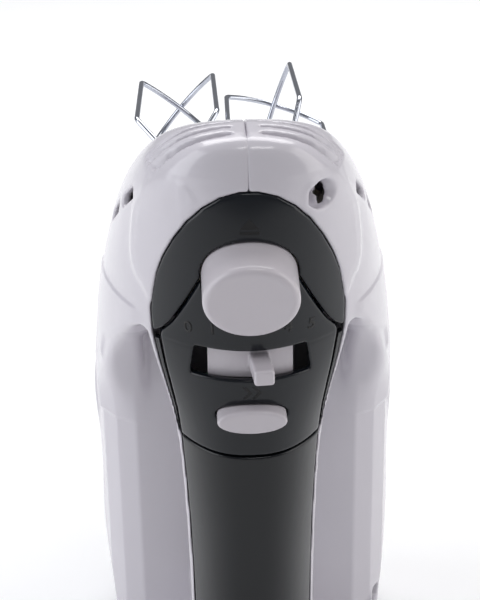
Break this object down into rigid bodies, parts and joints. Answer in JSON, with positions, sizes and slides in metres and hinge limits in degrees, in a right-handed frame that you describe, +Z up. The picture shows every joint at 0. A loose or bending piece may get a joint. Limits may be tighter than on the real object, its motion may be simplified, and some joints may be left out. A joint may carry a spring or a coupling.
{
  "type": "hand mixer",
  "caption": "Handheld electric mixer with an ejector button, an arc speed slider, a turbo key and two wire-cage beaters driven by a worm gear motor.",
  "frame": {"origin": "centre line of the flat heel face that the mixer stands on", "axes": "+Z up from the heel to the nose, +Y along the beaters away from the handle, +X to the right as seen from the handle side"},
  "size_m": [0.0966, 0.2216, 0.1932],
  "materials": {
    "housing_plastic": "moulded, semi-gloss light lavender grey",
    "button_plastic": "moulded, semi-gloss light lavender grey",
    "panel_plastic": "polished charcoal",
    "grip_plastic": "satin charcoal",
    "trim_plastic": "gloss charcoal with fine ribs",
    "screw_steel": "ground steel",
    "bush_rubber": "matte",
    "switch_plastic": "matte black",
    "board": "solder mask green",
    "lamination": "stacked steel laminations",
    "enamelled_copper": "enamelled copper wire",
    "bracket_plastic": "matte natural",
    "bearing_brass": "sintered bronze and brass",
    "carbon": "matte carbon",
    "spring_steel": "drawn spring wire",
    "fan_plastic": "matte black",
    "gear_plastic": "natural white, waxy",
    "collar_plastic": "matte dark grey",
    "chrome_wire": "polished chrome"
  },
  "bodies": {
    "housing": {"housing_left": "housing_plastic", "housing_right": "housing_plastic", "upper_panel": "panel_plastic", "lower_panel": "panel_plastic", "handle_grip": "grip_plastic", "side_trim_left": "trim_plastic", "side_trim_right": "trim_plastic", "housing_screws": "screw_steel", "cord_inlet_bush": "bush_rubber", "speed_switch": "switch_plastic", "turbo_switch": "switch_plastic", "control_board": "board", "motor_stator": "lamination", "field_coils": "enamelled_copper", "motor_bracket": "bracket_plastic", "rear_bearing": "bearing_brass", "front_bearing": "bearing_brass", "brush_holders": "bearing_brass", "carbon_brushes": "carbon", "gearbox_frame": "bracket_plastic", "eject_spring": "spring_steel"},
    "rotor": {"motor_shaft": "screw_steel", "rotor_core": "lamination", "rotor_winding": "enamelled_copper", "commutator": "bearing_brass", "cooling_fan": "fan_plastic", "drive_worm": "screw_steel"},
    "left_spindle": {"spindle_left": "screw_steel", "worm_wheel_left": "gear_plastic"},
    "right_spindle": {"spindle_right": "screw_steel", "worm_wheel_right": "gear_plastic"},
    "ejector_button": {"eject_button": "button_plastic"},
    "ejector": {"ejector_plate": "bracket_plastic"},
    "left_ejector_pin": {"ejector_pin_left": "screw_steel"},
    "right_ejector_pin": {"ejector_pin_right": "screw_steel"},
    "left_beater": {"beater_shaft_left": "chrome_wire", "beater_collar_left": "collar_plastic", "beater_wire_left_a": "chrome_wire", "beater_wire_left_b": "chrome_wire"},
    "right_beater": {"beater_shaft_right": "chrome_wire", "beater_collar_right": "collar_plastic", "beater_wire_right_a": "chrome_wire", "beater_wire_right_b": "chrome_wire"},
    "speed_lever": {"speed_slider": "button_plastic"},
    "turbo_key": {"turbo_button": "button_plastic"}
  },
  "joints": [
    {"name": "motor_spin", "type": "hinge", "parent": "housing", "child": "rotor", "pos_m": [0, 0.028, 0.08], "axis": [0, 0, 1], "continuous": true},
    {"name": "left_spindle_spin", "type": "hinge", "parent": "housing", "child": "left_spindle", "pos_m": [-0.01835, 0.028, 0.1412], "axis": [0, 1, 0], "continuous": true},
    {"name": "right_spindle_spin", "type": "hinge", "parent": "housing", "child": "right_spindle", "pos_m": [0.01835, 0.028, 0.1412], "axis": [0, 1, 0], "continuous": true},
    {"name": "eject_press", "type": "slide", "parent": "housing", "child": "ejector_button", "axis": [0, 0.9744, 0.225], "range_m": [0, 0.006], "stiffness_N_per_m": 900, "springref_m": -0.004},
    {"name": "ejector_travel", "type": "slide", "parent": "housing", "child": "ejector", "axis": [0, 1, 0], "range_m": [0, 0.0059], "deforming": ["eject_spring"]},
    {"name": "left_pin_travel", "type": "slide", "parent": "left_spindle", "child": "left_ejector_pin", "axis": [0, 1, 0], "range_m": [0, 0.0059]},
    {"name": "right_pin_travel", "type": "slide", "parent": "right_spindle", "child": "right_ejector_pin", "axis": [0, 1, 0], "range_m": [0, 0.0059]},
    {"name": "left_beater_pull", "type": "slide", "parent": "left_ejector_pin", "child": "left_beater", "axis": [0, 1, 0], "range_m": [0, 0.036]},
    {"name": "right_beater_pull", "type": "slide", "parent": "right_ejector_pin", "child": "right_beater", "axis": [0, 1, 0], "range_m": [0, 0.036]},
    {"name": "speed_select", "type": "hinge", "parent": "housing", "child": "speed_lever", "pos_m": [0, -0.017, 0.1291], "axis": [0, 0, 1], "range_deg": [-29.7, 19.8]},
    {"name": "turbo_press", "type": "slide", "parent": "housing", "child": "turbo_key", "axis": [0, 1, 0], "range_m": [0, 0.0025], "stiffness_N_per_m": 300, "springref_m": -0.002}
  ],
  "couplings": [
    {"joint": "right_spindle_spin", "follows": "motor_spin", "ratio": -0.083333},
    {"joint": "left_spindle_spin", "follows": "motor_spin", "ratio": 0.083333},
    {"joint": "ejector_travel", "follows": "eject_press", "ratio": 0.97},
    {"joint": "left_pin_travel", "follows": "eject_press", "ratio": 0.97},
    {"joint": "right_pin_travel", "follows": "eject_press", "ratio": 0.97}
  ]
}
